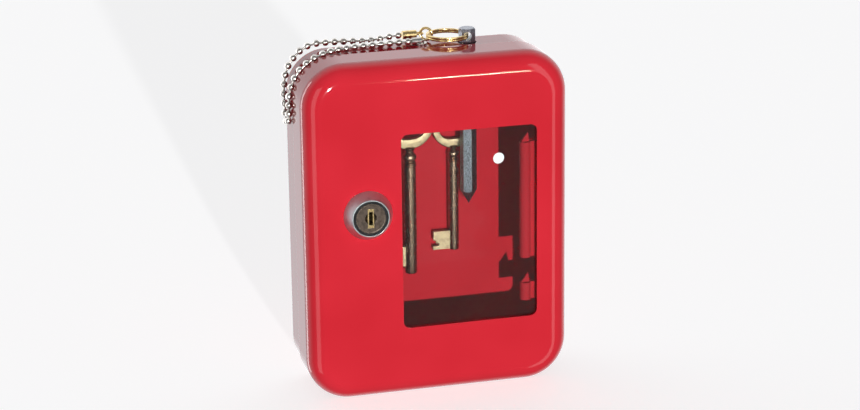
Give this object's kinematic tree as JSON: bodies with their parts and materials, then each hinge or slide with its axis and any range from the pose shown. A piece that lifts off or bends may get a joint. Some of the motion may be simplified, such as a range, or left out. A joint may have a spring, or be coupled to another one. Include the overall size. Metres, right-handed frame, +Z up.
{
  "type": "emergency key box",
  "caption": "Steel key box with a glass window in its hinged door, a cam lock, hanging keys, and a pointed striker on a ball chain for breaking the glass.",
  "frame": {"origin": "midway between the two wall screw holes, on the outer back face", "axes": "+X to the box's right as seen from the front, +Y into the wall, +Z up"},
  "size_m": [0.1234, 0.0475, 0.1555],
  "materials": {
    "red_paint": "gloss",
    "glass": "clear",
    "chrome": "polished",
    "zinc_steel": "satin",
    "plug_bronze": "satin",
    "brass": "satin",
    "nickel": "polished",
    "black_nylon": "matte"
  },
  "bodies": {
    "case": {"case_shell": "red_paint", "upper_hinge_case_leaf": "red_paint", "lower_hinge_case_leaf": "red_paint", "upper_hinge_pin": "zinc_steel", "lower_hinge_pin": "zinc_steel", "lock_catch": "red_paint", "hook_plate": "red_paint", "left_hook": "zinc_steel", "right_hook": "zinc_steel", "striker_guide": "black_nylon", "chain_anchor": "nickel", "chain": "nickel"},
    "door": {"door_shell": "red_paint", "upper_hinge_door_leaf": "red_paint", "lower_hinge_door_leaf": "red_paint", "glass_pane": "glass", "right_glass_rail": "red_paint", "upper_left_glass_clip": "red_paint", "lower_left_glass_clip": "red_paint", "bottom_glass_channel": "red_paint", "top_glass_clip": "red_paint", "top_clip_screw": "zinc_steel", "lock_housing": "chrome", "lock_washer": "zinc_steel", "lock_nut": "zinc_steel"},
    "lock_core": {"lock_plug": "plug_bronze", "keyway_liner": "brass", "lock_wafers": "brass", "lock_cam": "zinc_steel", "cam_screw": "zinc_steel"},
    "hung_left_key": {"left_key": "brass"},
    "hung_right_key": {"right_key": "brass"},
    "striker": {"striker_rod": "zinc_steel", "split_ring": "brass", "clasp_link": "brass", "chain_clasp": "brass"}
  },
  "joints": [
    {"name": "door_hinge", "type": "hinge", "parent": "case", "child": "door", "pos_m": [0.0604, -0.0186, 0], "axis": [0, 0, 1], "range_deg": [0, 110]},
    {"name": "lock_turn", "type": "hinge", "parent": "door", "child": "lock_core", "pos_m": [-0.0316, -0.03, -0.0075], "axis": [0, 1, 0], "range_deg": [0, 90]},
    {"name": "left_key_swing", "type": "hinge", "parent": "case", "child": "hung_left_key", "pos_m": [-0.0047, -0.009, 0.0274], "axis": [0, 1, 0], "range_deg": [-5, 5]},
    {"name": "right_key_swing", "type": "hinge", "parent": "case", "child": "hung_right_key", "pos_m": [0.0163, -0.0046, 0.0274], "axis": [0, 1, 0], "range_deg": [-5, 5]},
    {"name": "striker_pull", "type": "slide", "parent": "case", "child": "striker", "axis": [0, 0, 1], "range_m": [0, 0.075]}
  ]
}
